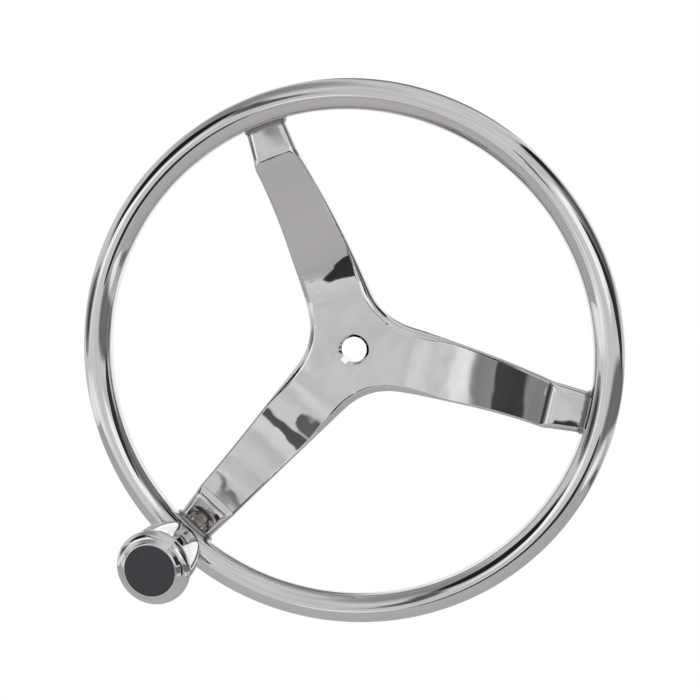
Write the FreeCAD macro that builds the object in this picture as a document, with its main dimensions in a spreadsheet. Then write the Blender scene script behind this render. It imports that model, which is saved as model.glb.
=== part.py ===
import FreeCAD, Part
import math
import os
import Sketcher
from FreeCAD import Rotation, Vector

# Stainless boat steering wheel with a spinning knob. Millimetres, +Z up, the driver at -Y.
# The origin is on the shaft's axis, in the plane of the hub's back face. Every piece is drawn
# with the knob's arm straight down, and then turned with the wheel about the Y axis.

SIZES = [
    ("wheel_turn", 41.2, "how far the wheel is turned clockwise, as the driver sees it"),
    ("rim_outer_dia", 342.9, "rim over the tube"),
    ("rim_tube_dia", 19.05, "rim tube, outside"),
    ("rim_wall", 1.65, "rim tube, wall"),
    ("hub_length", 25.4, "hub from its back face to its front face"),
    ("hub_dish", 45.5, "hub's front face to the rim's centre plane"),
    ("hub_dia", 38.1, "hub behind the spider"),
    ("hub_edge", 1.5, "chamfer round the hub's back"),
    ("hub_weld", 3.0, "concave weld between the hub and the spider's back"),
    ("spigot_dia", 25.4, "hub's spigot through the spider"),
    ("spigot_gap", 0.02, "spigot to the spider's hole, on the radius"),
    ("taper_dia", 19.05, "taper bore at its large end, the back face"),
    ("taper_run", 12.0, "length over which the bore loses 1 mm of its diameter"),
    ("bore_edge", 1.9, "chamfer at the bore's front"),
    ("key_width", 4.76, "keyway width"),
    ("key_reach", 11.4, "keyway's floor from the axis"),
    ("arm_count", 3, "spokes"),
    ("arm_thickness", 7.0, "spider plate"),
    ("arm_width_root", 51.4, "spoke width, its edges drawn on to the axis"),
    ("arm_width_tip", 25.9, "spoke width where it meets the rim"),
    ("arm_blank_width", 64.0, "plate strip that a spoke is cut from"),
    ("window_radius", 43.2, "concave outline between two spokes"),
    ("sweep_start", 32.5, "where the spoke leaves the hub's plane"),
    ("sweep_middle", 75.0, "where the wide rounding at the hub has run out"),
    ("pad_start", 135.0, "where the flat pad at the rim begins"),
    ("pad_inset", 1.525, "pad's back in from the rim tube's rearmost line"),
    ("bend_radius", 8.0, "middle of the plate in the bend before the pad"),
    ("hub_rounding", 6.0, "front edge of the spider between the spokes"),
    ("arm_rounding", 2.0, "front edge along a spoke"),
    ("pad_rounding", 4.8, "front edge of a pad"),
    ("back_rounding", 0.7, "back edge of the spider"),
    ("weld_reach", 1.6, "weld along a pad, from the tube's inner side"),
    ("weld_slope", 34.0, "angle of that weld's face to the pad"),
    ("weld_root", 0.4, "how deep in the pad that weld begins"),
    ("weld_step", 0.05, "weld's back in from the pad's back"),
    ("stud_base_dia", 17.0, "knob stud's base, welded on the rim"),
    ("stud_base_top", 15.2, "base's shoulder from the rim's centre plane"),
    ("stud_dia", 10.0, "stud where the knob runs"),
    ("thread_dia", 8.0, "stud's thread, outside"),
    ("thread_length", 10.2, "stud's thread"),
    ("thread_tip", 0.8, "chamfer at the thread's end"),
    ("thread_gap", 0.02, "nut and washer to the thread, on the radius"),
    ("run_gap", 0.05, "bushes to the stud, on the radius"),
    ("end_play", 0.1, "bush flange to the face that it runs on"),
    ("bush_wall", 1.95, "bush sleeve"),
    ("bush_length", 12.0, "bush sleeve"),
    ("flange_dia", 18.0, "bush flange"),
    ("flange_thickness", 1.5, "bush flange"),
    ("washer_dia", 17.0, "washer under the lock nut"),
    ("washer_thickness", 1.5, "washer under the lock nut"),
    ("nut_flats", 13.0, "lock nut across its flats"),
    ("nut_height", 8.0, "lock nut"),
    ("nut_cone", 0.58, "rise of the cone on the nut's corners, for each mm inwards"),
    ("nut_ring_dia", 10.6, "plastic locking ring in the nut"),
    ("nut_ring_height", 2.2, "plastic locking ring in the nut"),
    ("nut_ring_lip", 0.6, "metal turned over the locking ring"),
    ("knob_dia", 47.0, "knob at its widest"),
    ("knob_back_dia", 33.8, "knob's back face, over its rounding"),
    ("knob_widest", 52.7, "knob's widest place from the rim's centre plane"),
    ("knob_front", 59.3, "knob's front from the rim's centre plane"),
    ("knob_side_radius", 140.0, "slightly full side of the knob"),
    ("knob_back_rounding", 1.2, "knob's back edge"),
    ("shoulder_radius", 5.2, "rounded front shoulder of the knob"),
    ("shoulder_inner_dia", 38.0, "where the shoulder meets the lip's foot"),
    ("shoulder_drop", 2.1, "shoulder's inner edge behind the knob's front"),
    ("lip_dia", 35.0, "raised lip round the cap"),
    ("lip_drop", 0.6, "lip's outer edge behind the knob's front"),
    ("lip_radius", 1.6, "crown of the lip"),
    ("cap_dia", 31.8, "black cap in the knob"),
    ("cap_gap", 0.05, "cap and its skirt to the knob, on the radius"),
    ("cap_thickness", 2.6, "black cap"),
    ("cap_rounding", 0.6, "black cap's edge"),
    ("well_dia", 26.0, "well in the knob for the lock nut"),
    ("well_floor", 44.1, "well's floor from the rim's centre plane"),
    ("skirt_wall", 1.8, "cap's skirt, which grips the well"),
    ("skirt_length", 4.5, "cap's skirt"),
]

doc = FreeCAD.newDocument("steering_wheel")
sheet = doc.addObject("Spreadsheet::Sheet", "Sizes")
for row, (alias, number, note) in enumerate(SIZES, start=1):
    sheet.set("A%d" % row, alias)
    sheet.set("B%d" % row, str(number))
    sheet.set("C%d" % row, note)
    sheet.setAlias("B%d" % row, alias)
doc.recompute()


class Dim:
    """A size that is known as a number and as the text of its formula in the sheet's words."""

    def __init__(self, value, text=None):
        self.value = float(value)
        self.text = text or repr(float(value))

    def __add__(self, other):
        return Dim(self.value + dim(other).value, "(%s + %s)" % (self.text, dim(other).text))

    def __sub__(self, other):
        return Dim(self.value - dim(other).value, "(%s - %s)" % (self.text, dim(other).text))

    def __mul__(self, other):
        return Dim(self.value * dim(other).value, "(%s * %s)" % (self.text, dim(other).text))

    def __truediv__(self, other):
        return Dim(self.value / dim(other).value, "(%s / %s)" % (self.text, dim(other).text))

    def __neg__(self):
        return Dim(-self.value, "(0 - %s)" % self.text)


def dim(length):
    return length if isinstance(length, Dim) else Dim(length)


def size(alias):
    return Dim(sheet.get(alias), "Sizes." + alias)


def sine(angle):
    return Dim(math.sin(math.radians(angle.value)), "sin(%s * 1 deg)" % angle.text)


def cosine(angle):
    return Dim(math.cos(math.radians(angle.value)), "cos(%s * 1 deg)" % angle.text)


def tangent(angle):
    return Dim(math.tan(math.radians(angle.value)), "tan(%s * 1 deg)" % angle.text)


def arctangent(slope):
    return Dim(math.degrees(math.atan(slope.value)), "(atan(%s) / 1 deg)" % slope.text)


def root(square):
    return Dim(math.sqrt(square.value), "sqrt(%s)" % square.text)


def bind(thing, prop, length):
    thing.setExpression(prop, dim(length).text)


def new_body(label):
    body = doc.addObject("PartDesign::Body", label)
    body.Label = label
    return body


def datum(body, role):
    for feature in body.Origin.OriginFeatures:
        if feature.Role == role:
            return feature
    raise ValueError(role)


def new_sketch(body, name, role):
    sketch = body.newObject("Sketcher::SketchObject", name)
    sketch.AttachmentSupport = [(datum(body, role), "")]
    sketch.MapMode = "FlatFace"
    return sketch


def new_feature(body, kind, name, sketch=None):
    feature = body.newObject("PartDesign::" + kind, name)
    if sketch is not None:
        feature.Profile = sketch
        sketch.Visibility = False
    return feature


def constrain(sketch, kind, *items):
    """Adds one constraint. A last item that is a Dim becomes its value and its formula."""
    if isinstance(items[-1], Dim):
        index = sketch.addConstraint(Sketcher.Constraint(kind, *items[:-1], items[-1].value))
        sketch.setExpression("Constraints[%d]" % index, items[-1].text)
    else:
        sketch.addConstraint(Sketcher.Constraint(kind, *items))


START, END, CENTRE, ORIGIN = 1, 2, 3, -1


def arc_through(begin, finish, radius, side):
    """The minor arc between two points, bulging to the right of the way there for side 1."""
    chord = finish - begin
    rise = math.sqrt(max(radius ** 2 - (chord.Length / 2) ** 2, 0))
    outward = Vector(chord.y, -chord.x, 0).normalize() * side
    centre = (begin + finish) / 2 - outward * rise
    return Part.Arc(begin, centre + outward * radius, finish)


def outline(sketch, corners):
    """Draws a closed outline from corners (x, y) or (x, y, radius, side).

    The radius and side, if any, make an arc of the edge that leaves the corner. Every corner
    is dimensioned from the sketch's origin, so the outline follows the sizes that it names."""
    points = [Vector(dim(x).value, dim(y).value, 0) for x, y, *_ in corners]
    for index, (x, y, *bulge) in enumerate(corners):
        begin, finish = points[index], points[(index + 1) % len(points)]
        if bulge:
            radius, side = bulge
            sketch.addGeometry(arc_through(begin, finish, radius.value, side), False)
        else:
            sketch.addGeometry(Part.LineSegment(begin, finish), False)
    # An arc runs anticlockwise whichever way it was drawn, so its two ends are told apart here.
    ends = []
    for index, point in enumerate(points):
        begun = sketch.getPoint(index, START).distanceToPoint(point)
        ended = sketch.getPoint(index, END).distanceToPoint(point)
        ends.append((START, END) if begun <= ended else (END, START))
    for index, (x, y, *bulge) in enumerate(corners):
        following = (index + 1) % len(corners)
        constrain(sketch, "Coincident", index, ends[index][1], following, ends[following][0])
        constrain(sketch, "DistanceX", ORIGIN, START, index, ends[index][0], dim(x))
        constrain(sketch, "DistanceY", ORIGIN, START, index, ends[index][0], dim(y))
        if bulge:
            constrain(sketch, "Radius", index, bulge[0])


def circle(sketch, x, y, radius):
    centre = Vector(dim(x).value, dim(y).value, 0)
    index = sketch.addGeometry(Part.Circle(centre, Vector(0, 0, 1), radius.value), False)
    constrain(sketch, "DistanceX", ORIGIN, START, index, CENTRE, dim(x))
    constrain(sketch, "DistanceY", ORIGIN, START, index, CENTRE, dim(y))
    constrain(sketch, "Radius", index, radius)


def turned(body, name, corners):
    """A full turn about the Y axis of an outline given as (radius, place along Y)."""
    sketch = new_sketch(body, name + "_outline", "XY_Plane")
    outline(sketch, corners)
    turn = new_feature(body, "Revolution", name, sketch)
    turn.ReferenceAxis = (sketch, ["V_Axis"])
    turn.Angle = 360
    return turn


def patterned(body, name, original):
    """Repeats a feature round the shaft's axis, once for each spoke."""
    pattern = body.newObject("PartDesign::PolarPattern", name)
    pattern.Originals = [original]
    pattern.Axis = (datum(body, "Y_Axis"), [""])
    pattern.Angle = 360
    bind(pattern, "Occurrences", arm_count)
    body.Tip = pattern
    return pattern


def turn_with_wheel(thing):
    """Places a piece that is drawn about the shaft's axis."""
    thing.Placement.Rotation = Rotation(Vector(0, 1, 0), wheel_turn.value)
    bind(thing, "Placement.Rotation.Angle", wheel_turn)


def place_on_knob_axis(thing):
    """Places a piece that is drawn about the knob's axis, from the rim's centre plane."""
    bind(thing, "Placement.Base.x", -(rim_radius * sine(wheel_turn)))
    bind(thing, "Placement.Base.y", rim_plane)
    bind(thing, "Placement.Base.z", -(rim_radius * cosine(wheel_turn)))
    thing.Placement.Rotation = Rotation(Vector(0, 1, 0), wheel_turn.value)
    bind(thing, "Placement.Rotation.Angle", wheel_turn)


wheel_turn = size("wheel_turn")
arm_count = size("arm_count")
tube_radius = size("rim_tube_dia") / 2
rim_radius = size("rim_outer_dia") / 2 - tube_radius
hub_front = -size("hub_length")
rim_plane = hub_front - size("hub_dish")
thickness = size("arm_thickness")
plate_back = hub_front + thickness


# Rim: one bent and welded tube.

def make_rim_tube():
    body = new_body("rim_tube")
    sketch = new_sketch(body, "tube_section", "XY_Plane")
    circle(sketch, rim_radius, rim_plane, tube_radius)
    circle(sketch, rim_radius, rim_plane, tube_radius - size("rim_wall"))
    turn = new_feature(body, "Revolution", "tube_ring", sketch)
    turn.ReferenceAxis = (sketch, ["V_Axis"])
    turn.Angle = 360
    turn_with_wheel(body)
    return body


def tube_envelope(name):
    """The rim tube's outside as a solid ring, which copes whatever is welded to it."""
    ring = doc.addObject("Part::Torus", name)
    bind(ring, "Radius1", rim_radius)
    bind(ring, "Radius2", tube_radius)
    ring.Placement.Rotation = Rotation(Vector(1, 0, 0), 90)
    bind(ring, "Placement.Base.y", rim_plane)
    return ring


# Spider: one plate with three spokes. Each spoke leaves the hub's plane on a long sweep
# towards the driver, turns back in a small bend and ends in a flat pad at the rim.

sweep_start = size("sweep_start")
pad_start = size("pad_start")
hub_middle = hub_front + thickness / 2
pad_middle = rim_plane + tube_radius - size("pad_inset") - thickness / 2
sweep_rise = hub_middle - pad_middle
sweep_reach = pad_start - sweep_start
sweep_angle = arctangent(sweep_rise / sweep_reach) * 2
sweep_radius = sweep_reach / sine(sweep_angle) - size("bend_radius")
sweep_centre = hub_middle - sweep_radius
edge_slope = (size("arm_width_root") - size("arm_width_tip")) / 2 / (rim_radius - tube_radius)
half_gap = Dim(180) / arm_count
straight_down = -90


def sweep_point(radius, along):
    """Where a sweep of this radius is at a distance from the shaft's axis."""
    offset = along - sweep_start
    return sweep_centre + root(radius * radius - offset * offset), -along


def spoke_profile(sketch):
    """The plate's edge seen from the side, with the spoke pointing down."""
    front_radius = sweep_radius - thickness / 2
    back_radius = sweep_radius + thickness / 2
    outer_bend = size("bend_radius") + thickness / 2
    inner_bend = size("bend_radius") - thickness / 2
    pad_front = pad_middle - thickness / 2
    pad_back = pad_middle + thickness / 2
    front_split = sweep_start + (size("sweep_middle") - sweep_start) * front_radius / sweep_radius
    back_split = sweep_start + (size("sweep_middle") - sweep_start) * back_radius / sweep_radius
    front_end = sweep_start + front_radius * sine(sweep_angle)
    back_end = sweep_start + back_radius * sine(sweep_angle)
    outline(sketch, [
        (hub_front, 0),
        (hub_front, -sweep_start, front_radius, -1),
        (*sweep_point(front_radius, front_split), front_radius, -1),
        (*sweep_point(front_radius, front_end), outer_bend, 1),
        (pad_front, -pad_start),
        (pad_front, -rim_radius),
        (pad_back, -rim_radius),
        (pad_back, -pad_start, inner_bend, -1),
        (*sweep_point(back_radius, back_end), back_radius, 1),
        (*sweep_point(back_radius, back_split), back_radius, 1),
        (plate_back, -sweep_start),
        (plate_back, 0),
    ])


def window_outline(sketch):
    """The gap between two spokes, drawn about the sketch's downward axis."""
    root_width = size("arm_width_root") / 2
    slant = root(edge_slope * edge_slope + 1)
    near = (size("window_radius") * slant + root_width) / (
        sine(half_gap) + edge_slope * cosine(half_gap))
    # Unit vectors along a spoke and out from its edge, in the sketch's x and y.
    out_x, out_y = sine(half_gap), -cosine(half_gap)
    side_x, side_y = -cosine(half_gap), -sine(half_gap)
    foot_x = -(size("window_radius") * (side_x + edge_slope * out_x) / slant)
    foot_y = -(near + size("window_radius") * (side_y + edge_slope * out_y) / slant)
    far = size("rim_outer_dia") / 2
    far_width = root_width - edge_slope * far
    far_x = out_x * far + side_x * far_width
    far_y = out_y * far + side_y * far_width
    outline(sketch, [
        (foot_x, foot_y, size("window_radius"), 1),
        (-foot_x, foot_y),
        (-far_x, far_y, root(far_x * far_x + far_y * far_y), 1),
        (far_x, far_y),
    ])


def make_spider_blank():
    body = new_body("spider_blank")
    profile = new_sketch(body, "spoke_side_view", "YZ_Plane")
    spoke_profile(profile)
    pad = new_feature(body, "Pad", "spoke_strip", profile)
    pad.SideType = "Symmetric"
    bind(pad, "Length", size("arm_blank_width"))
    strips = patterned(body, "spoke_strips", pad)
    gap = new_sketch(body, "window", "XZ_Plane")
    bind(gap, ".AttachmentOffset.Rotation.Angle", half_gap)
    window_outline(gap)
    pocket = new_feature(body, "Pocket", "window_cut", gap)
    pocket.Type = "ThroughAll"
    pocket.SideType = "Symmetric"
    gaps = patterned(body, "window_cuts", pocket)
    hole = new_sketch(body, "hub_hole", "XZ_Plane")
    circle(hole, 0, 0, size("spigot_dia") / 2 + size("spigot_gap"))
    bore = new_feature(body, "Pocket", "hub_hole_cut", hole)
    bore.Type = "ThroughAll"
    bore.SideType = "Symmetric"
    body.Tip = bore
    # The seams across the sweep are kept, because the edge rounding changes its course there.
    for feature in (pad, strips, pocket, gaps, bore):
        feature.Refine = False
    doc.recompute()
    return body


def directions(start):
    """Unit vectors round the shaft's axis, one for each spoke, the first at this angle."""
    count = round(arm_count.value)
    angles = [math.radians(start + 360 * turn / count) for turn in range(count)]
    return [Vector(math.cos(angle), 0, math.sin(angle)) for angle in angles]


def front_rounding(point):
    """Radius of the spider's front edge at a point: wide at the hub and at the pads."""
    along = max(point.dot(spoke) for spoke in directions(straight_down))
    if along > (pad_start.value + size("sweep_middle").value) / 2:
        bend_begins = sweep_start.value + sweep_radius.value * sine(sweep_angle).value
        return size("pad_rounding" if along > bend_begins else "arm_rounding").value
    middle = (sweep_start.value + size("sweep_middle").value) / 2
    return size("arm_rounding" if along > middle else "hub_rounding").value


def window_side(edge):
    """The window that an edge borders, and whether the edge runs anticlockwise round it."""
    begin = edge.valueAt(edge.FirstParameter)
    finish = edge.valueAt(edge.LastParameter)
    windows = directions(straight_down + half_gap.value)
    reach = [(begin + finish).dot(window) for window in windows]
    window = reach.index(max(reach))
    middle = windows[window] * (rim_radius.value / 2)
    return window, (begin - middle).cross(finish - middle).y < 0


def make_rounded_spider(blank):
    """Rounds every edge between a window's wall and the plate's front or back."""
    edges = []
    run_of_window = {}
    hole = size("spigot_dia").value
    square_on = 1e-6
    slanting = 0.2
    for index, edge in enumerate(blank.Shape.Edges, start=1):
        middle = edge.valueAt((edge.FirstParameter + edge.LastParameter) / 2)
        if not hole < math.hypot(middle.x, middle.z) < (rim_radius - tube_radius / 2).value:
            continue
        normals = []
        for face in blank.Shape.ancestorsOfType(edge, Part.Face):
            normals.append(face.normalAt(*face.Surface.parameter(middle)).y)
        upright = [n for n in normals if abs(n) < square_on]
        facing = [n for n in normals if abs(n) > slanting]
        if len(upright) != 1 or len(facing) != 1:
            continue
        if facing[0] > 0:
            edges.append((index, size("back_rounding").value, size("back_rounding").value))
            continue
        # The front edges of a window are one chain. Its first edge gives the way it runs, and
        # the two radii of every other edge follow that way.
        window, anticlockwise = window_side(edge)
        along = anticlockwise == run_of_window.setdefault(window, anticlockwise)
        ends = (edge.FirstParameter, edge.LastParameter) if along else (
            edge.LastParameter, edge.FirstParameter)
        edges.append((index, *[front_rounding(edge.valueAt(end)) for end in ends]))
    rounded = doc.addObject("Part::Fillet", "rounded_spider")
    rounded.Base = blank
    rounded.Edges = edges
    return rounded


def foot_section(body, name, along, half_width, front, back, rounding):
    """Outline across a spoke's foot: full corners at the front, square ones at the back."""
    sketch = new_sketch(body, name, "XY_Plane")
    bind(sketch, ".AttachmentOffset.Base.z", -along)
    outline(sketch, [
        (-half_width, back),
        (-half_width, front + rounding, rounding, 1),
        (-(half_width - rounding), front),
        (half_width - rounding, front, rounding, 1),
        (half_width, front + rounding),
        (half_width, back),
    ])
    return sketch


def make_feet():
    """The welds that widen each spoke's end to the tube, polished to a plain slope."""
    body = new_body("spoke_feet")
    weld_root = size("weld_root")
    inset = size("pad_inset")
    slope = tangent(size("weld_slope"))
    front = pad_middle - thickness / 2
    back = pad_middle + thickness / 2
    begins = rim_radius - tube_radius - size("weld_reach")
    half_width = size("arm_width_root") / 2 - edge_slope * begins
    # The far section is where the pad's back runs into the tube, and lies inside the tube.
    toe = rim_radius - root(tube_radius * 2 * inset - inset * inset) + weld_root / 2
    spread = (toe - begins) * slope
    near = foot_section(body, "foot_root", begins - weld_root / slope, half_width - weld_root,
                        front + weld_root, back - weld_root, size("pad_rounding") - weld_root)
    far = foot_section(body, "foot_toe", toe, half_width + spread, front - spread,
                       back - size("weld_step"), size("pad_rounding") + spread)
    foot = new_feature(body, "AdditiveLoft", "foot", near)
    foot.Sections = [far]
    foot.Ruled = True
    far.Visibility = False
    patterned(body, "feet", foot)
    return body


def make_spoke_spider():
    rounded = make_rounded_spider(make_spider_blank())
    feet = make_feet()
    whole = doc.addObject("Part::MultiFuse", "spider_with_feet")
    whole.Shapes = [rounded, feet]
    spider = doc.addObject("Part::Cut", "spoke_spider")
    spider.Label = "spoke_spider"
    spider.Base = whole
    spider.Tool = tube_envelope("cope_for_spokes")
    turn_with_wheel(spider)
    return spider


# Hub: turned, with a spigot that fills the spider's hole and is polished level with it.

def make_hub_boss():
    body = new_body("hub_boss")
    outside = size("hub_dia") / 2
    spigot = size("spigot_dia") / 2
    edge = size("hub_edge")
    weld = size("hub_weld")
    large = size("taper_dia") / 2
    chamfer = size("bore_edge")
    small = large - (size("hub_length") - chamfer) / size("taper_run") / 2
    turned(body, "hub_turning", [
        (large, 0),
        (outside - edge, 0),
        (outside, -edge),
        (outside, plate_back + weld, weld, 1),
        (outside + weld, plate_back),
        (spigot, plate_back),
        (spigot, hub_front),
        (small + chamfer, hub_front),
        (small, hub_front + chamfer),
    ])
    sketch = new_sketch(body, "keyway_section", "XZ_Plane")
    half = size("key_width") / 2
    outline(sketch, [
        (-half, 0),
        (half, 0),
        (half, -size("key_reach")),
        (-half, -size("key_reach")),
    ])
    keyway = new_feature(body, "Pocket", "keyway", sketch)
    keyway.Type = "ThroughAll"
    keyway.SideType = "Symmetric"
    body.Tip = keyway
    turn_with_wheel(body)
    return body


# Knob: it spins on a stud that is welded on the rim, on two flanged bushes, and a lock nut
# in a well under the cap keeps it there. Places are from the rim's centre plane, forwards.

stud_radius = size("stud_dia") / 2
thread_radius = size("thread_dia") / 2
bush_inside = stud_radius + size("run_gap")
bush_outside = bush_inside + size("bush_wall")
base_top = size("stud_base_top")
knob_back = base_top + size("end_play") + size("flange_thickness")
well_floor = size("well_floor")
shank_end = well_floor + size("flange_thickness") + size("end_play")
washer_top = shank_end + size("washer_thickness")
nut_top = washer_top + size("nut_height")
knob_front = size("knob_front")
cap_seat = knob_front - size("cap_thickness")


def make_knob_stud():
    blank = new_body("stud_blank")
    base = size("stud_base_dia") / 2
    tip = size("thread_tip")
    thread_end = shank_end + size("thread_length")
    turned(blank, "stud_turning", [
        (0, 0),
        (0, -thread_end),
        (thread_radius - tip, -thread_end),
        (thread_radius, -(thread_end - tip)),
        (thread_radius, -shank_end),
        (stud_radius, -shank_end),
        (stud_radius, -base_top),
        (base, -base_top),
        (base, 0),
    ])
    bind(blank, "Placement.Base.y", rim_plane)
    bind(blank, "Placement.Base.z", -rim_radius)
    stud = doc.addObject("Part::Cut", "knob_stud")
    stud.Label = "knob_stud"
    stud.Base = blank
    stud.Tool = tube_envelope("cope_for_stud")
    turn_with_wheel(stud)
    return stud


def make_bush(label, face, away):
    """A flanged bush whose flange lies on a face of the knob, away being 1 for its front."""
    body = new_body(label)
    tip = face - size("bush_length") * away
    flange = face + size("flange_thickness") * away
    turned(body, label + "_turning", [
        (bush_inside, -flange),
        (size("flange_dia") / 2, -flange),
        (size("flange_dia") / 2, -face),
        (bush_outside, -face),
        (bush_outside, -tip),
        (bush_inside, -tip),
    ])
    place_on_knob_axis(body)
    return body


def make_stud_washer():
    body = new_body("stud_washer")
    inside = thread_radius + size("thread_gap")
    turned(body, "washer_turning", [
        (inside, -shank_end),
        (size("washer_dia") / 2, -shank_end),
        (size("washer_dia") / 2, -washer_top),
        (inside, -washer_top),
    ])
    place_on_knob_axis(body)
    return body


def make_lock_nut():
    """A hexagon nut, turned to a cone at both ends, with a seat for the locking ring."""
    body = new_body("lock_nut")
    flat = size("nut_flats") / 2
    side_turn = Dim(60)
    corner = flat / cosine(side_turn / 2)
    clear = corner + flat
    sketch = new_sketch(body, "nut_section", "XZ_Plane")
    bind(sketch, ".AttachmentOffset.Base.z", washer_top)
    outline(sketch, [
        (corner, 0),
        (corner / 2, flat),
        (-corner / 2, flat),
        (-corner, 0),
        (-corner / 2, -flat),
        (corner / 2, -flat),
    ])
    hexagon = new_feature(body, "Pad", "hexagon", sketch)
    bind(hexagon, "Length", size("nut_height"))
    drop = (corner - flat) * size("nut_cone")
    ring_seat = nut_top - size("nut_ring_height") - size("nut_ring_lip")
    edges = new_sketch(body, "corner_cuts", "XY_Plane")
    outline(edges, [
        (flat, -nut_top),
        (corner, -(nut_top - drop)),
        (clear, -(nut_top - drop)),
        (clear, -nut_top),
    ])
    cuts = new_feature(body, "Groove", "corner_turning", edges)
    cuts.ReferenceAxis = (edges, ["V_Axis"])
    cuts.Angle = 360
    bore = new_sketch(body, "bore_outline", "XY_Plane")
    inside = thread_radius + size("thread_gap")
    ring_outside = size("nut_ring_dia") / 2
    outline(bore, [
        (0, -washer_top),
        (inside, -washer_top),
        (inside, -ring_seat),
        (ring_outside, -ring_seat),
        (ring_outside, -(nut_top - size("nut_ring_lip"))),
        (ring_outside - size("nut_ring_lip"), -(nut_top - size("nut_ring_lip"))),
        (ring_outside - size("nut_ring_lip"), -nut_top),
        (0, -nut_top),
    ])
    thread = new_feature(body, "Groove", "bore_turning", bore)
    thread.ReferenceAxis = (bore, ["V_Axis"])
    thread.Angle = 360
    body.Tip = thread
    place_on_knob_axis(body)
    return body


def make_lock_ring():
    body = new_body("lock_ring")
    inside = thread_radius + size("thread_gap")
    top = nut_top - size("nut_ring_lip")
    turned(body, "ring_turning", [
        (inside, -(top - size("nut_ring_height"))),
        (size("nut_ring_dia") / 2, -(top - size("nut_ring_height"))),
        (size("nut_ring_dia") / 2, -top),
        (inside, -top),
    ])
    place_on_knob_axis(body)
    return body


def make_knob_body():
    """Turned from the bar: a full side, a round shoulder, and a lip round the cap's seat."""
    body = new_body("knob_body")
    rounding = size("knob_back_rounding")
    back = size("knob_back_dia") / 2
    cap = size("cap_dia") / 2 + size("cap_gap")
    turned(body, "knob_turning", [
        (bush_outside, -knob_back),
        (back - rounding, -knob_back, rounding, -1),
        (back, -(knob_back + rounding), size("knob_side_radius"), -1),
        (size("knob_dia") / 2, -size("knob_widest"), size("shoulder_radius"), -1),
        (size("shoulder_inner_dia") / 2, -(knob_front - size("shoulder_drop"))),
        (size("lip_dia") / 2, -(knob_front - size("lip_drop")), size("lip_radius"), -1),
        (cap, -knob_front),
        (cap, -cap_seat),
        (size("well_dia") / 2, -cap_seat),
        (size("well_dia") / 2, -well_floor),
        (bush_outside, -well_floor),
    ])
    place_on_knob_axis(body)
    return body


def make_knob_cap():
    """The black cap: a disc level with the lip, and a skirt that grips the well."""
    body = new_body("knob_cap")
    outside = size("cap_dia") / 2
    edge = size("cap_rounding")
    skirt = size("well_dia") / 2 - size("cap_gap")
    turned(body, "cap_turning", [
        (0, -cap_seat),
        (0, -knob_front),
        (outside - edge, -knob_front, edge, 1),
        (outside, -(knob_front - edge)),
        (outside, -cap_seat),
        (skirt, -cap_seat),
        (skirt, -(cap_seat - size("skirt_length"))),
        (skirt - size("skirt_wall"), -(cap_seat - size("skirt_length"))),
        (skirt - size("skirt_wall"), -cap_seat),
    ])
    place_on_knob_axis(body)
    return body


pieces = [
    make_rim_tube(),
    make_spoke_spider(),
    make_hub_boss(),
    make_knob_stud(),
    make_bush("rear_bush", knob_back, -1),
    make_bush("front_bush", well_floor, 1),
    make_stud_washer(),
    make_lock_nut(),
    make_lock_ring(),
    make_knob_body(),
    make_knob_cap(),
]
doc.recompute()

for thing in doc.Objects:
    if "Invalid" in thing.State or "Error" in thing.State:
        raise RuntimeError("%s could not be made: %s" % (thing.Label, thing.State))
for piece in pieces:
    if piece.Shape.isNull() or not piece.Shape.isValid():
        raise RuntimeError("%s has no sound shape" % piece.Label)

os.makedirs("parts", exist_ok=True)
for piece in pieces:
    piece.Shape.exportStep("parts/%s.step" % piece.Label)
    print(piece.Label, len(piece.Shape.Solids), "solid,", round(piece.Shape.Volume / 1000, 2), "cm3")
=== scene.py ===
import math
import bpy
import numpy as np
from mathutils import Matrix, Vector


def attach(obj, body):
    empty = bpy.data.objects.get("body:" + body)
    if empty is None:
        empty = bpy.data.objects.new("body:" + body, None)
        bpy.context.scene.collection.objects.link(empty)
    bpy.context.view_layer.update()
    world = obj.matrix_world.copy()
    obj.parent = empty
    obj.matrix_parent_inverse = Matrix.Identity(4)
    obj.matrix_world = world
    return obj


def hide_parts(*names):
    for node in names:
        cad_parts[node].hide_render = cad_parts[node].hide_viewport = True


# Stainless boat steering wheel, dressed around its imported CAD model. Metres, +Z up,
# the driver at -Y, the origin on the shaft's axis at the hub's back.

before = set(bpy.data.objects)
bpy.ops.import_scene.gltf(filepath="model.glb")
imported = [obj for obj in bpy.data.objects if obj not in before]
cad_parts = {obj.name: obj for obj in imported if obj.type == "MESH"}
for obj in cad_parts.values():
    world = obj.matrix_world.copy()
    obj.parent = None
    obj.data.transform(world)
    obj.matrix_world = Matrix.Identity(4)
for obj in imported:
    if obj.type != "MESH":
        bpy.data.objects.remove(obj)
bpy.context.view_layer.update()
scene = bpy.context.scene
mmPerMetre = 1000    # values whose names end in Mm are millimetres
print("frame loaded")


# Colours and nodes

def linearColour(hexValue):
    # sRGB hex to the linear values that Blender's sockets take
    channels = [int(hexValue[i:i + 2], 16) / 255 for i in (1, 3, 5)]
    return [c / 12.92 if c <= 0.04045 else ((c + 0.055) / 1.055) ** 2.4 for c in channels] + [1.0]


def addNode(tree, kind, settings=None, inputs=None):
    # inputs holds plain values, or sockets of other nodes to link from
    node = tree.nodes.new(kind)
    for name, value in (settings or {}).items():
        setattr(node, name, value)
    for name, value in (inputs or {}).items():
        if isinstance(value, bpy.types.NodeSocket):
            tree.links.new(value, node.inputs[name])
        else:
            node.inputs[name].default_value = value
    return node


def newMaterial(name):
    material = bpy.data.materials.new(name)
    material.use_nodes = True
    tree = material.node_tree
    tree.nodes.clear()
    place = addNode(tree, "ShaderNodeTexCoord").outputs["Object"]
    return material, tree, place


def finishMaterial(tree, inputs):
    shader = addNode(tree, "ShaderNodeBsdfPrincipled", inputs=inputs)
    addNode(tree, "ShaderNodeOutputMaterial", inputs={"Surface": shader.outputs["BSDF"]})


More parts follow.
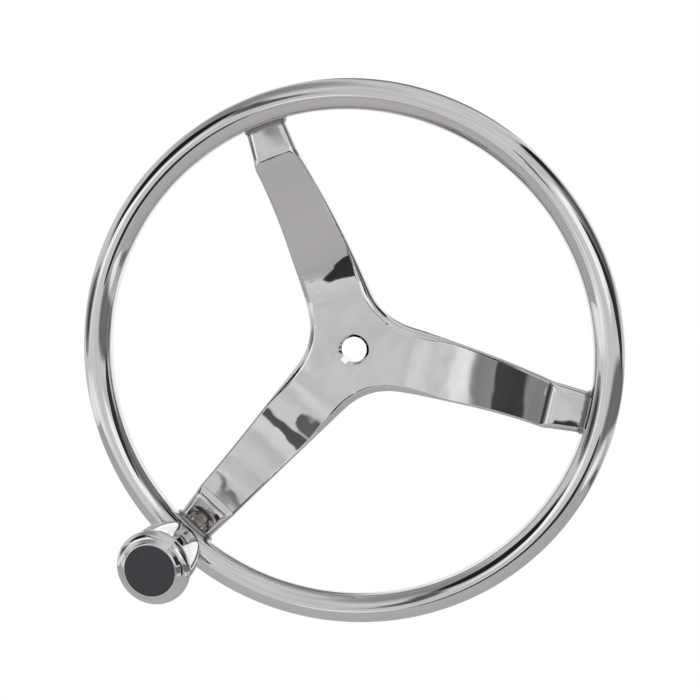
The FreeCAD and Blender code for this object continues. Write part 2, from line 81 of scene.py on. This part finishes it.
def dressNode(name, material):
    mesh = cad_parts[name].data
    mesh.materials.clear()
    mesh.materials.append(material)


# Stainless steel 316, buffed to a mirror. The eye sees its surroundings in it, nearly sharp, with
# a faint haze left by the buffing wheel. On the pressed plate the mirror is a little wavy.
polishedSteel = {
    "colour": "#D3D1D1",
    "roughness": 0.012,
    "hazeRoughness": 0.035,     # where the buffing wheel left a haze
    "hazePatchMm": 30.0,
    "hazeRange": (0.35, 0.7),   # noise levels between which the haze comes up
    "waveLengthMm": 34.0,       # slow swell of the pressed plate
    "waveHeightMm": 0.70,
    "dimpleLengthMm": 12.0,     # shallow dimples from the press and the polishing
    "dimpleHeightMm": 0.14,
}

# A duller, darker band on the metal that meets the rim's tube, fading out to a ragged edge.
rimDarkBand = {
    "colour": "#8F8D8D",
    "roughness": 0.30,
    "widthMm": 2.4,     # full strength up to here from the tube
    "fadeMm": 1.8,
    "edgeNoiseMm": 1.5,      # size of the noise that makes the band's edge ragged
}


def hazeRoughness(tree, place):
    patch = addNode(tree, "ShaderNodeTexNoise", inputs={
        "Vector": place, "Scale": mmPerMetre / polishedSteel["hazePatchMm"], "Detail": 3.0})
    haze = addNode(tree, "ShaderNodeMapRange", inputs={
        "Value": patch.outputs["Fac"],
        "From Min": polishedSteel["hazeRange"][0], "From Max": polishedSteel["hazeRange"][1],
        "To Min": polishedSteel["roughness"], "To Max": polishedSteel["hazeRoughness"]})
    return haze.outputs["Result"]


def makePolishedSteel():
    material, tree, place = newMaterial("stainlessMirrorPolish")
    finishMaterial(tree, {
        "Base Color": linearColour(polishedSteel["colour"]),
        "Metallic": 1.0,
        "Roughness": hazeRoughness(tree, place)})
    return material


# Polished steel that turns darker and duller in a band next to the rim's tube.
def makeSteelDarkNearTube():
    material, tree, place = newMaterial("stainlessMirrorPolishDarkNearTube")
    # how far the metal is from the tube's surface
    parts = addNode(tree, "ShaderNodeSeparateXYZ", inputs={"Vector": place})
    flat = addNode(tree, "ShaderNodeCombineXYZ", inputs={
        "X": parts.outputs["X"], "Y": parts.outputs["Z"]})
    reach = addNode(tree, "ShaderNodeVectorMath", {"operation": "LENGTH"}, {0: flat.outputs[0]})
    outward = addNode(tree, "ShaderNodeMath", {"operation": "SUBTRACT"}, {
        0: reach.outputs["Value"], 1: rimTube["middleRadiusMm"] / mmPerMetre})
    along = addNode(tree, "ShaderNodeMath", {"operation": "SUBTRACT"}, {
        0: parts.outputs["Y"], 1: rimTube["planeMm"] / mmPerMetre})
    offset = addNode(tree, "ShaderNodeCombineXYZ", inputs={
        "X": outward.outputs[0], "Y": along.outputs[0]})
    away = addNode(tree, "ShaderNodeVectorMath", {"operation": "LENGTH"}, {0: offset.outputs[0]})
    # the darker band fades out with that distance, to a ragged edge
    fade = rimDarkBand["fadeMm"] / mmPerMetre
    start = (rimTube["tubeRadiusMm"] + rimDarkBand["widthMm"]) / mmPerMetre
    edgeNoise = addNode(tree, "ShaderNodeTexNoise", inputs={
        "Vector": place, "Scale": mmPerMetre / rimDarkBand["edgeNoiseMm"], "Detail": 1.0})
    ragged = addNode(tree, "ShaderNodeMath", {"operation": "MULTIPLY_ADD"}, {
        0: edgeNoise.outputs["Fac"], 1: fade, 2: away.outputs["Value"]})
    darkBand = addNode(tree, "ShaderNodeMapRange", {"interpolation_type": "SMOOTHSTEP"}, {
        "Value": ragged.outputs[0], "From Min": start, "From Max": start + fade,
        "To Min": 1.0, "To Max": 0.0}).outputs["Result"]
    colour = addNode(tree, "ShaderNodeMix", {"data_type": "RGBA"}, {
        0: darkBand, 6: linearColour(polishedSteel["colour"]), 7: linearColour(rimDarkBand["colour"])})
    roughness = addNode(tree, "ShaderNodeMix", {"data_type": "FLOAT"}, {
        0: darkBand, 2: hazeRoughness(tree, place), 3: rimDarkBand["roughness"]})
    wave = addNode(tree, "ShaderNodeTexNoise", inputs={
        "Vector": place, "Scale": mmPerMetre / polishedSteel["waveLengthMm"], "Detail": 0.0})
    wavy = addNode(tree, "ShaderNodeBump", inputs={
        "Strength": 1.0, "Distance": polishedSteel["waveHeightMm"] / mmPerMetre,
        "Height": wave.outputs["Fac"]})
    dimple = addNode(tree, "ShaderNodeTexNoise", inputs={
        "Vector": place, "Scale": mmPerMetre / polishedSteel["dimpleLengthMm"], "Detail": 0.0})
    dimpled = addNode(tree, "ShaderNodeBump", inputs={
        "Strength": 1.0, "Distance": polishedSteel["dimpleHeightMm"] / mmPerMetre,
        "Height": dimple.outputs["Fac"], "Normal": wavy.outputs["Normal"]})
    finishMaterial(tree, {
        "Base Color": colour.outputs[2],
        "Metallic": 1.0,
        "Roughness": roughness.outputs[0],
        "Normal": dimpled.outputs["Normal"]})
    return material


# Rim tube, bent in one ring, with finer facets than its CAD solid's. The steps are what a user may
# change. The radii and the plane are the CAD model's.
rimTube = {
    "middleRadiusMm": 161.925,
    "tubeRadiusMm": 9.525,
    "planeMm": -70.9,
    "stepsRound": 384,
    "stepsAcross": 72,
}


def makeRim():
    rows, columns = rimTube["stepsRound"], rimTube["stepsAcross"]
    ring = np.linspace(0, 2 * math.pi, rows, endpoint=False)[:, None]
    across = np.linspace(0, 2 * math.pi, columns, endpoint=False)[None, :]
    out = (rimTube["middleRadiusMm"] + rimTube["tubeRadiusMm"] * np.cos(across)) / mmPerMetre
    along = (rimTube["planeMm"] - rimTube["tubeRadiusMm"] * np.sin(across)) / mmPerMetre + 0 * ring
    points = np.stack([out * np.cos(ring), along, out * np.sin(ring)], axis=-1).reshape(-1, 3)
    faces = []
    for i in range(rows):
        here, ahead = i * columns, (i + 1) % rows * columns
        for j in range(columns):
            over = (j + 1) % columns
            faces.append((here + j, ahead + j, ahead + over, here + over))
    mesh = bpy.data.meshes.new("rim_polished")
    mesh.from_pydata(points.tolist(), [], faces)
    mesh.polygons.foreach_set("use_smooth", [True] * len(faces))
    mesh.materials.append(mirrorSteel)
    rim = bpy.data.objects.new("rim_polished", mesh)
    scene.collection.objects.link(rim)
    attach(rim, "wheel")
    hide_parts("rim_tube")


mirrorSteel = makePolishedSteel()
steelDarkNearTube = makeSteelDarkNearTube()


# Smooth pieces. A mirror shows the smallest kink in the shading, so each polished piece is a copy
# of its CAD solid whose normals run on across the seams between its faces.

smoothPieces = {
    "seamAngle": 24.0,          # degrees; faces that meet at less are one smooth surface
    "seamSnapMm": 0.002,        # corners this close are one place
    "leastLength": 1e-20,       # keeps a sliver's normal from a division by nothing
}


def triangleArrays(mesh):
    points = np.empty(len(mesh.vertices) * 3)
    mesh.vertices.foreach_get("co", points)
    points = points.reshape(-1, 3)
    mesh.calc_loop_triangles()
    corners = np.empty(len(mesh.loop_triangles) * 3, int)
    mesh.loop_triangles.foreach_get("vertices", corners)
    return points, corners.reshape(-1, 3)


def cornerNormals(points, corners):
    # each vertex's normal from its own face's triangles, by angle, and their area
    least = smoothPieces["leastLength"]
    a, b, c = (points[corners[:, i]] for i in range(3))
    flat = np.cross(b - a, c - a)
    twiceArea = np.linalg.norm(flat, axis=1)
    flat /= np.maximum(twiceArea, least)[:, None]
    normals = np.zeros_like(points)
    area = np.zeros(len(points))
    for i in range(3):
        here, after, before = (points[corners[:, (i + k) % 3]] for k in range(3))
        one, two = after - here, before - here
        cosine = (one * two).sum(1) / np.maximum(
            np.linalg.norm(one, axis=1) * np.linalg.norm(two, axis=1), least)
        np.add.at(normals, corners[:, i], flat * np.arccos(np.clip(cosine, -1, 1))[:, None])
        np.add.at(area, corners[:, i], twiceArea)
    normals /= np.maximum(np.linalg.norm(normals, axis=1, keepdims=True), least)
    return normals, area


def joinSeams(points, normals, area):
    # where two faces run on into each other, both take the normal of the broader one
    snapped = np.round(points / (smoothPieces["seamSnapMm"] / mmPerMetre)).astype(int)
    _, place = np.unique(snapped, axis=0, return_inverse=True)
    order = np.argsort(place.ravel(), kind="stable")
    groups = np.split(order, np.flatnonzero(np.diff(place.ravel()[order])) + 1)
    limit = math.cos(math.radians(smoothPieces["seamAngle"]))
    joined = normals.copy()
    for group in groups:
        if len(group) < 2:
            continue
        for vertex in group:
            near = group[(normals[group] @ normals[vertex]) > limit]
            joined[vertex] = normals[near[np.argmax(area[near])]]
    return joined


def smoothCopy(nodeName, body, material):
    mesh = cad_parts[nodeName].data.copy()
    mesh.name = nodeName + "_polished"
    points, corners = triangleArrays(mesh)
    normals = joinSeams(points, *cornerNormals(points, corners))
    mesh.polygons.foreach_set("use_smooth", [True] * len(mesh.polygons))
    mesh.normals_split_custom_set_from_vertices(normals)
    mesh.materials.clear()
    mesh.materials.append(material)
    piece = bpy.data.objects.new(mesh.name, mesh)
    scene.collection.objects.link(piece)
    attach(piece, body)
    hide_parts(nodeName)


# the spider and the knob's stud take the steel that is darker and duller next to the rim's tube
smoothCopy("spoke_spider", "wheel", steelDarkNearTube)
smoothCopy("knob_stud", "wheel", steelDarkNearTube)
smoothCopy("hub_boss", "wheel", mirrorSteel)
smoothCopy("knob_body", "knob", mirrorSteel)
print("polished pieces made")

makeRim()
print("rim made")


# Knob's small parts. What the lathe turned has fine rings round the knob's axis.

latheRings = {
    "axis": (-0.106658, 0.0, -0.121835),    # a point on the knob's axis, in metres
    "scaleAtOneMm": math.pi * 100,          # the wave texture's scale for rings 1 mm apart
    "wander": 0.4,
}


def turningMarks(tree, place, spacingMm, heightMm):
    centred = addNode(tree, "ShaderNodeVectorMath", {"operation": "SUBTRACT"}, {
        0: place, 1: latheRings["axis"]})
    rings = addNode(tree, "ShaderNodeTexWave", {"wave_type": "RINGS", "rings_direction": "Y"}, {
        "Vector": centred.outputs[0], "Scale": latheRings["scaleAtOneMm"] / spacingMm,
        "Distortion": latheRings["wander"], "Detail": 1.0})
    marks = addNode(tree, "ShaderNodeBump", inputs={
        "Strength": 1.0, "Distance": heightMm / mmPerMetre, "Height": rings.outputs["Fac"]})
    return marks.outputs["Normal"]


# Stainless steel 304, machined and left plain. The eye sees a soft grey shine with fine rings in
# it, drawn twice as coarse as real ones so that they show.
plainSteel = {
    "colour": "#C4C2BE",
    "roughness": (0.26, 0.38),
    "mottleMm": 2.5,
    "ringMm": 0.5,
    "ringHeightMm": 0.004,
}


def makePlainSteel():
    material, tree, place = newMaterial("stainlessPlainMachined")
    mottle = addNode(tree, "ShaderNodeTexNoise", inputs={
        "Vector": place, "Scale": mmPerMetre / plainSteel["mottleMm"], "Detail": 3.0})
    sheen = addNode(tree, "ShaderNodeMapRange", inputs={
        "Value": mottle.outputs["Fac"], "To Min": plainSteel["roughness"][0],
        "To Max": plainSteel["roughness"][1]})
    finishMaterial(tree, {
        "Base Color": linearColour(plainSteel["colour"]),
        "Metallic": 1.0,
        "Roughness": sheen.outputs["Result"],
        "Normal": turningMarks(tree, place, plainSteel["ringMm"], plainSteel["ringHeightMm"])})
    return material


# Acetal, turned from white rod. Waxy white, with a soft shine and faint rings.
bushPlastic = {
    "colour": "#ECEAE4",
    "shade": "#E2DFD6",
    "cloudMm": 4.0,
    "roughness": 0.34,
    "ior": 1.48,
    "ringMm": 0.4,
    "ringHeightMm": 0.003,
}

# Nylon, moulded and left its natural ivory. A little warmer and duller than the bushes, with the
# rings of the turned mould in it.
ringPlastic = {
    "colour": "#E6E1D0",
    "shade": "#D9D2BC",
    "cloudMm": 4.0,
    "roughness": 0.45,
    "ior": 1.48,
    "ringMm": 0.6,
    "ringHeightMm": 0.002,
}


def makePalePlastic(name, values):
    material, tree, place = newMaterial(name)
    cloud = addNode(tree, "ShaderNodeTexNoise", inputs={
        "Vector": place, "Scale": mmPerMetre / values["cloudMm"], "Detail": 2.0})
    colour = addNode(tree, "ShaderNodeMix", {"data_type": "RGBA"}, {
        0: cloud.outputs["Fac"],
        6: linearColour(values["colour"]), 7: linearColour(values["shade"])})
    finishMaterial(tree, {
        "Base Color": colour.outputs[2],
        "Roughness": values["roughness"],
        "IOR": values["ior"],
        "Normal": turningMarks(tree, place, values["ringMm"], values["ringHeightMm"])})
    return material


# ABS, moulded black against a spark-etched face. Charcoal black, flat, with a fine even grain and
# hardly any shine. The real grain is about 0.15 mm and is drawn coarser so that it shows.
blackCap = {
    "colour": "#29282D",
    "worn": "#333238",
    "roughness": (0.50, 0.62),  # where worn, and where not
    "ior": 1.52,
    "grainMm": 0.35,
    "grainHeightMm": 0.02,
    "wearMm": 9.0,
}


def makeBlackCap():
    material, tree, place = newMaterial("absBlackEtched")
    grain = addNode(tree, "ShaderNodeTexNoise", inputs={
        "Vector": place, "Scale": mmPerMetre / blackCap["grainMm"], "Detail": 2.0})
    wear = addNode(tree, "ShaderNodeTexNoise", inputs={
        "Vector": place, "Scale": mmPerMetre / blackCap["wearMm"], "Detail": 3.0})
    colour = addNode(tree, "ShaderNodeMix", {"data_type": "RGBA"}, {
        0: wear.outputs["Fac"],
        6: linearColour(blackCap["colour"]), 7: linearColour(blackCap["worn"])})
    sheen = addNode(tree, "ShaderNodeMapRange", inputs={
        "Value": wear.outputs["Fac"],
        "To Min": blackCap["roughness"][1], "To Max": blackCap["roughness"][0]})
    etched = addNode(tree, "ShaderNodeBump", inputs={
        "Strength": 1.0, "Distance": blackCap["grainHeightMm"] / mmPerMetre,
        "Height": grain.outputs["Fac"]})
    finishMaterial(tree, {
        "Base Color": colour.outputs[2],
        "Roughness": sheen.outputs["Result"],
        "IOR": blackCap["ior"],
        "Normal": etched.outputs["Normal"]})
    return material


machinedSteel = makePlainSteel()
whiteAcetal = makePalePlastic("acetalTurnedWhite", bushPlastic)
dressNode("stud_washer", machinedSteel)
dressNode("lock_nut", machinedSteel)
dressNode("lock_ring", makePalePlastic("nylonMouldedNatural", ringPlastic))
dressNode("rear_bush", whiteAcetal)
dressNode("front_bush", whiteAcetal)
dressNode("knob_cap", makeBlackCap())
print("knob's small parts dressed")


# Camera

photoCamera = {
    "focalMm": 46.39,
    "sensorMm": 36.0,
    "place": (0.0978, -0.6209, 0.0851),
    "tilt": 0.130,              # radians, as is the swing
    "swing": -0.167,
    "shift": (0.0001, -0.0134),
    "nearest": 0.01,
}


def addCamera():
    data = bpy.data.cameras.new("photoCamera")
    data.lens = photoCamera["focalMm"]
    data.sensor_width = photoCamera["sensorMm"]
    data.shift_x, data.shift_y = photoCamera["shift"]
    data.clip_start = photoCamera["nearest"]
    camera = bpy.data.objects.new("photoCamera", data)
    scene.collection.objects.link(camera)
    # the wheel faces the camera straight on, and then swings and tilts
    facing = Matrix(((1, 0, 0), (0, 0, 1), (0, -1, 0)))
    tilt = Matrix.Rotation(photoCamera["tilt"], 3, "X")
    swing = Matrix.Rotation(photoCamera["swing"], 3, "Y")
    turned = (tilt @ swing @ facing).transposed().to_4x4()
    camera.matrix_world = Matrix.Translation(photoCamera["place"]) @ turned
    scene.camera = camera


addCamera()
print("camera set")


# Studio. Mirror steel is drawn by what stands round it, so the world holds the soft boxes, dark
# cards and room of a photographer's corner. Each card is a soft oval on the sky, placed by its
# bearing to the right of straight behind the camera and its height, both in degrees.

studio = {
    "wall": 0.82,
    "sweep": 1.25,              # the white paper behind the wheel
    "sweepFrom": (118, 134),    # bearings between which the wall gives way to it
    "sweepHeights": (32, 62),   # and heights between which it ends
    "waver": 4.0,               # degrees by which the cards' edges wander
    "waverScale": 9.0,
    "uneven": 0.17,             # how much the light varies from place to place
    "unevenRange": (0.3, 0.7),  # noise levels that give the least and the most of it
    "unevenScale": 6.0,
    "cards": [
        # bearing, height, half width, half height, turn, softness, brightness
        ("dimUpperLeft", -75, 60, 60, 22, 0, 0.5, 0.36),
        ("floorTone", 0, -100, 260, 78.5, 0, 0.02, 0.56),
        ("dimRight", 70, -15, 57, 8.5, 0, 0.2, 0.22),
        ("brightLowRight", 46, -28.5, 30, 4.5, 0, 0.35, 1.15),
        ("lineLowRight", 97, -35, 25, 2, 0, 0.4, 0.15),
        ("darkRight", 84, 27, 29, 25, 0, 0.35, 0.22),
        ("darkRightTop", 91, 45, 27, 8, 0, 0.1, 0.02),
        ("darkRightBar", 90, 25, 6, 22, 0, 0.4, 0.06),
        ("softBoxRight", 33, 12, 20, 11, 35, 0.2, 1.3),
        ("blackFlag", 69, 7, 30, 9.5, -28, 0.12, 0.04),
        ("tripodRight", 4.3, 5.1, 4.9, 1.6, 50, 0.2, 0.16),
        ("tripodHead", 9.8, 13.4, 4.6, 1.7, 52, 0.15, 0.12),
        ("lineRight", 50.5, 43, 6, 0.8, 8, 0.6, 0.3),
        ("dimLeft", -73, 0, 27, 8, 0, 0.12, 0.32),
        ("darkLeft", -48, 26, 19, 17, -20, 0.2, 0.02),
        ("edgeLeft", -22, 22, 20, 3.5, 125, 0.4, 0.15),
        ("softBoxLeft", -33, 5, 14.5, 6.3, 0, 0.12, 1.3),
        ("softBoxCorner", -40, -3.6, 6.0, 3.2, 8, 0.5, 1.12),
        ("doorLeft", -67.5, 0, 11, 5, 0, 0.08, 0.07),
        ("brightLowLeft", -60, -15, 42, 4, 4, 0.3, 1.1),
        ("darkLow", 5.5, -20.6, 11.7, 8.0, -4, 0.03, 0.04),
        ("glintLow", -9.6, -16.4, 1.8, 2.6, 0, 0.3, 1.3),
    ],
    "cardsBehind": [
        # these stand in front of the white paper
        ("rearRight", 172, 45, 28, 17, 0, 0.4, 0.26),
        ("rearLeft", -178, 45, 18, 18, 0, 0.4, 0.26),
        ("rearLowRight", 128, -43, 22, 12, 0, 0.4, 0.36),
    ],
}


def makeStudio():
    world = bpy.data.worlds.new("studio")
    scene.world = world
    world.use_nodes = True
    tree = world.node_tree
    tree.nodes.clear()
    around = addNode(tree, "ShaderNodeTexCoord").outputs["Generated"]
    way = addNode(tree, "ShaderNodeSeparateXYZ", inputs={"Vector": around})
    back = addNode(tree, "ShaderNodeMath", {"operation": "MULTIPLY"}, {
        0: way.outputs["Y"], 1: -1.0})
    bearing = addNode(tree, "ShaderNodeMath", {"operation": "ARCTAN2"}, {
        0: way.outputs["X"], 1: back.outputs[0]})
    height = addNode(tree, "ShaderNodeMath", {"operation": "ARCSINE"}, {0: way.outputs["Z"]})
    radians = addNode(tree, "ShaderNodeCombineXYZ", inputs={
        "X": bearing.outputs[0], "Y": height.outputs[0]})
    degrees = addNode(tree, "ShaderNodeVectorMath", {"operation": "SCALE"}, {
        0: radians.outputs[0], "Scale": math.degrees(1)})

    # the cards' edges wander by noise that runs to both sides of zero
    wander = addNode(tree, "ShaderNodeTexNoise", inputs={
        "Vector": around, "Scale": studio["waverScale"], "Detail": 2.0})
    middled = addNode(tree, "ShaderNodeVectorMath", {"operation": "SUBTRACT"}, {
        0: wander.outputs["Color"], 1: (0.5, 0.5, 0.5)})
    moved = addNode(tree, "ShaderNodeVectorMath", {"operation": "SCALE"}, {
        0: middled.outputs[0], "Scale": studio["waver"]})
    sky = addNode(tree, "ShaderNodeVectorMath", {"operation": "ADD"}, {
        0: degrees.outputs[0], 1: moved.outputs[0]})
    # flat, so that the cards are measured in bearing and height alone
    sky = addNode(tree, "ShaderNodeVectorMath", {"operation": "MULTIPLY"}, {
        0: sky.outputs[0], 1: (1.0, 1.0, 0.0)})

    def grey(level):
        return (level, level, level, 1.0)

    light = grey(studio["wall"])

    def lay(mask, level):
        mix = addNode(tree, "ShaderNodeMix", {"data_type": "RGBA"}, {
            0: mask, 6: light, 7: grey(level)})
        return mix.outputs[2]

    def layCard(name, across, up, halfWidth, halfHeight, turn, soft, level):
        own = addNode(tree, "ShaderNodeMapping", {"vector_type": "TEXTURE", "label": name}, {
            "Vector": sky.outputs[0], "Location": (across, up, 0),
            "Rotation": (0, 0, math.radians(turn)), "Scale": (halfWidth, halfHeight, 1)})
        out = addNode(tree, "ShaderNodeVectorMath", {"operation": "LENGTH"}, {0: own.outputs[0]})
        mask = addNode(tree, "ShaderNodeMapRange", {"interpolation_type": "SMOOTHSTEP"}, {
            "Value": out.outputs["Value"], "From Min": 1 - soft, "From Max": 1 + soft,
            "To Min": 1.0, "To Max": 0.0})
        return lay(mask.outputs["Result"], level)

    for card in studio["cards"]:
        light = layCard(*card)

    # the white paper stands behind the wheel, as far to the left as to the right
    apart = addNode(tree, "ShaderNodeSeparateXYZ", inputs={"Vector": sky.outputs[0]})
    side = addNode(tree, "ShaderNodeMath", {"operation": "ABSOLUTE"}, {0: apart.outputs["X"]})
    rise = addNode(tree, "ShaderNodeMath", {"operation": "ABSOLUTE"}, {0: apart.outputs["Y"]})
    behind = addNode(tree, "ShaderNodeMapRange", {"interpolation_type": "SMOOTHSTEP"}, {
        "Value": side.outputs[0], "From Min": studio["sweepFrom"][0],
        "From Max": studio["sweepFrom"][1]})
    level = addNode(tree, "ShaderNodeMapRange", {"interpolation_type": "SMOOTHSTEP"}, {
        "Value": rise.outputs[0], "From Min": studio["sweepHeights"][0],
        "From Max": studio["sweepHeights"][1], "To Min": 1.0, "To Max": 0.0})
    sweep = addNode(tree, "ShaderNodeMath", {"operation": "MULTIPLY"}, {
        0: behind.outputs["Result"], 1: level.outputs["Result"]})
    light = lay(sweep.outputs[0], studio["sweep"])
    for card in studio["cardsBehind"]:
        light = layCard(*card)

    patchy = addNode(tree, "ShaderNodeTexNoise", inputs={
        "Vector": around, "Scale": studio["unevenScale"], "Detail": 4.0})
    gain = addNode(tree, "ShaderNodeMapRange", inputs={
        "Value": patchy.outputs["Fac"],
        "From Min": studio["unevenRange"][0], "From Max": studio["unevenRange"][1],
        "To Min": 1 - studio["uneven"], "To Max": 1 + studio["uneven"]})
    light = addNode(tree, "ShaderNodeVectorMath", {"operation": "SCALE"}, {
        0: light, "Scale": gain.outputs["Result"]}).outputs[0]

    # the picture's own background is plain white
    seen = addNode(tree, "ShaderNodeLightPath")
    light = addNode(tree, "ShaderNodeMix", {"data_type": "RGBA"}, {
        0: seen.outputs["Is Camera Ray"], 6: light, 7: grey(1.0)}).outputs[2]
    shade = addNode(tree, "ShaderNodeBackground", inputs={"Color": light, "Strength": 1.0})
    addNode(tree, "ShaderNodeOutputWorld", inputs={"Surface": shade.outputs[0]})


makeStudio()


# Floor. Uncoated card, pale grey and dull, with a faint mottle in its sheen. It lies far enough
# down to stay out of the picture, where the steel still shows it.

floorCard = {
    "left": -2.6, "right": 1.15, "front": -2.0, "rear": 1.1,
    "height": -1.0,
    "colour": "#D5D3D3",
    "seenColour": "#F8F7F7",    # paler to the camera than to the steel
    "roughness": (0.7, 0.8),
    "mottlePerMetre": 3.0,
}


def makeFloor():
    material, tree, place = newMaterial("paleCardFloor")
    mottle = addNode(tree, "ShaderNodeTexNoise", inputs={
        "Vector": place, "Scale": floorCard["mottlePerMetre"], "Detail": 2.0})
    sheen = addNode(tree, "ShaderNodeMapRange", inputs={
        "Value": mottle.outputs["Fac"],
        "To Min": floorCard["roughness"][0], "To Max": floorCard["roughness"][1]})
    seen = addNode(tree, "ShaderNodeLightPath")
    colour = addNode(tree, "ShaderNodeMix", {"data_type": "RGBA"}, {
        0: seen.outputs["Is Camera Ray"], 6: linearColour(floorCard["colour"]),
        7: linearColour(floorCard["seenColour"])})
    finishMaterial(tree, {
        "Base Color": colour.outputs[2],
        "Roughness": sheen.outputs["Result"]})
    left, right, front, rear = (floorCard[k] for k in ("left", "right", "front", "rear"))
    outline = ((left, front), (right, front), (right, rear), (left, rear))
    mesh = bpy.data.meshes.new("floor")
    mesh.from_pydata([(x, y, floorCard["height"]) for x, y in outline], [], [(0, 1, 2, 3)])
    mesh.materials.append(material)
    floor = bpy.data.objects.new("floor", mesh)
    scene.collection.objects.link(floor)


makeFloor()


# Overhead lamp. It brings plastic and the floor up to their written colours. The steel shows the
# studio above and not this lamp.

softLamp = {
    "place": (-0.5, -1.5, 1.7),
    "sizeM": 1.4,
    "watts": 26.0,
}


def addLamp():
    data = bpy.data.lights.new("softLamp", "AREA")
    data.shape = "SQUARE"
    data.size = softLamp["sizeM"]
    data.energy = softLamp["watts"]
    lamp = bpy.data.objects.new("softLamp", data)
    scene.collection.objects.link(lamp)
    lamp.location = softLamp["place"]
    lamp.rotation_euler = (-Vector(softLamp["place"])).to_track_quat("-Z", "Y").to_euler()
    lamp.visible_glossy = False


addLamp()
print("studio ready")

scene.view_settings.view_transform = "Standard"
